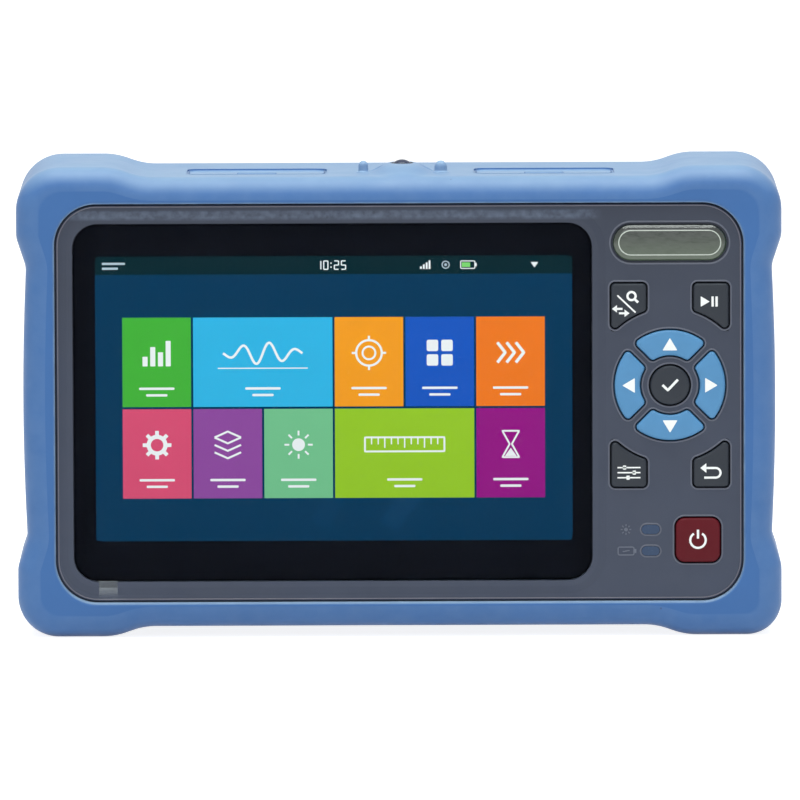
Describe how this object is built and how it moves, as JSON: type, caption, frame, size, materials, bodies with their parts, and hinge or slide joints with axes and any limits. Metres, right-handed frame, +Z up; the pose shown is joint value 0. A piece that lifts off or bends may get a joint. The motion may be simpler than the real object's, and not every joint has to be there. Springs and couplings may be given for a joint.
{
  "type": "optical time domain reflectometer",
  "caption": "Handheld fibre tester: two-shell housing with a screen, keypad, top ports and rear stand, in a rubber boot with corner bumpers.",
  "frame": {"origin": "middle of the base: centre of the box in X and Y, on the plane of the two lower bumpers", "axes": "+X to the right of someone facing the screen, the screen faces -Y, +Z up"},
  "size_m": [0.174, 0.045, 0.1076],
  "materials": {
    "boot_rubber": "satin",
    "shell": "fine texture",
    "seal": "matte",
    "steel": "satin",
    "screen_glass": "polished",
    "film": "clear",
    "panel": "gloss",
    "bracket": "satin",
    "silicone": "matte",
    "circuit_board": "solder mask",
    "lens_smoke": "gloss",
    "led": "gloss",
    "badge": "satin",
    "badge_resin": "clear gloss",
    "cast_box": "as cast",
    "tray_plastic": "matte",
    "fibre_jacket": "gloss",
    "cell_wrap": "gloss",
    "nickel": "plated",
    "zirconia": "polished",
    "torch_ring": "gloss",
    "torch_clear": "polished",
    "key_dark": "matte",
    "key_blue": "matte",
    "key_red": "matte"
  },
  "bodies": {
    "case": {"adapter_nuts": "nickel", "badge_dome": "badge_resin", "badge_plate": "badge", "battery_cells": "cell_wrap", "battery_holder": "tray_plastic", "board_screws": "steel", "boot": "boot_rubber", "cover_glass": "screen_glass", "dome_switches": "steel", "ferrule_sleeves": "zirconia", "fibre_coil": "fibre_jacket", "fibre_tray": "tray_plastic", "front_shell": "shell", "glass_adhesive": "seal", "housing_gasket": "seal", "housing_screws": "steel", "keypad_board": "circuit_board", "keypad_mat": "silicone", "kickstand_pins": "steel", "lcd_frame": "bracket", "lcd_panel": "panel", "led_lens_charge": "lens_smoke", "led_lens_power": "lens_smoke", "main_board": "circuit_board", "opm_adapter": "nickel", "optical_module": "cast_box", "otdr_adapter": "nickel", "port_tray_left": "shell", "port_tray_right": "shell", "rear_shell": "shell", "rj45_jack": "tray_plastic", "screen_film": "film", "shield_cans": "steel", "speaker": "tray_plastic", "status_leds": "led", "torch_bezel": "torch_ring", "torch_led": "led", "torch_lens": "torch_clear", "usb_jack": "steel", "vfl_adapter": "nickel"},
    "key_zoom": {"key_zoom": "key_dark"},
    "key_play": {"key_play": "key_dark"},
    "key_up": {"key_up": "key_blue"},
    "key_down": {"key_down": "key_blue"},
    "key_left": {"key_left": "key_blue"},
    "key_right": {"key_right": "key_blue"},
    "key_ok": {"key_ok": "key_dark"},
    "key_set": {"key_set": "key_dark"},
    "key_esc": {"key_esc": "key_dark"},
    "key_power": {"key_power": "key_red"},
    "port_flap_left": {"port_flap_left": "boot_rubber"},
    "port_flap_right": {"port_flap_right": "boot_rubber"},
    "kickstand": {"kickstand": "shell"}
  },
  "joints": [
    {"name": "key_zoom_press", "type": "slide", "parent": "case", "child": "key_zoom", "axis": [0, 1, 0], "range_m": [0, 0.0006], "stiffness_N_per_m": 400, "springref_m": -0.001},
    {"name": "key_play_press", "type": "slide", "parent": "case", "child": "key_play", "axis": [0, 1, 0], "range_m": [0, 0.0006], "stiffness_N_per_m": 400, "springref_m": -0.001},
    {"name": "key_up_press", "type": "slide", "parent": "case", "child": "key_up", "axis": [0, 1, 0], "range_m": [0, 0.0006], "stiffness_N_per_m": 400, "springref_m": -0.001},
    {"name": "key_down_press", "type": "slide", "parent": "case", "child": "key_down", "axis": [0, 1, 0], "range_m": [0, 0.0006], "stiffness_N_per_m": 400, "springref_m": -0.001},
    {"name": "key_left_press", "type": "slide", "parent": "case", "child": "key_left", "axis": [0, 1, 0], "range_m": [0, 0.0006], "stiffness_N_per_m": 400, "springref_m": -0.001},
    {"name": "key_right_press", "type": "slide", "parent": "case", "child": "key_right", "axis": [0, 1, 0], "range_m": [0, 0.0006], "stiffness_N_per_m": 400, "springref_m": -0.001},
    {"name": "key_ok_press", "type": "slide", "parent": "case", "child": "key_ok", "axis": [0, 1, 0], "range_m": [0, 0.0006], "stiffness_N_per_m": 400, "springref_m": -0.001},
    {"name": "key_set_press", "type": "slide", "parent": "case", "child": "key_set", "axis": [0, 1, 0], "range_m": [0, 0.0006], "stiffness_N_per_m": 400, "springref_m": -0.001},
    {"name": "key_esc_press", "type": "slide", "parent": "case", "child": "key_esc", "axis": [0, 1, 0], "range_m": [0, 0.0006], "stiffness_N_per_m": 400, "springref_m": -0.001},
    {"name": "key_power_press", "type": "slide", "parent": "case", "child": "key_power", "axis": [0, 1, 0], "range_m": [0, 0.0006], "stiffness_N_per_m": 400, "springref_m": -0.001},
    {"name": "port_flap_left_hinge", "type": "hinge", "parent": "case", "child": "port_flap_left", "pos_m": [-0.0322, 0.0024, 0.1047], "axis": [-1, 0, 0], "range_deg": [0, 110]},
    {"name": "port_flap_right_hinge", "type": "hinge", "parent": "case", "child": "port_flap_right", "pos_m": [0.033, 0.0024, 0.1047], "axis": [-1, 0, 0], "range_deg": [0, 110]},
    {"name": "kickstand_hinge", "type": "hinge", "parent": "case", "child": "kickstand", "pos_m": [0, 0.0187, 0.0844], "axis": [1, 0, 0], "range_deg": [0, 52]}
  ]
}
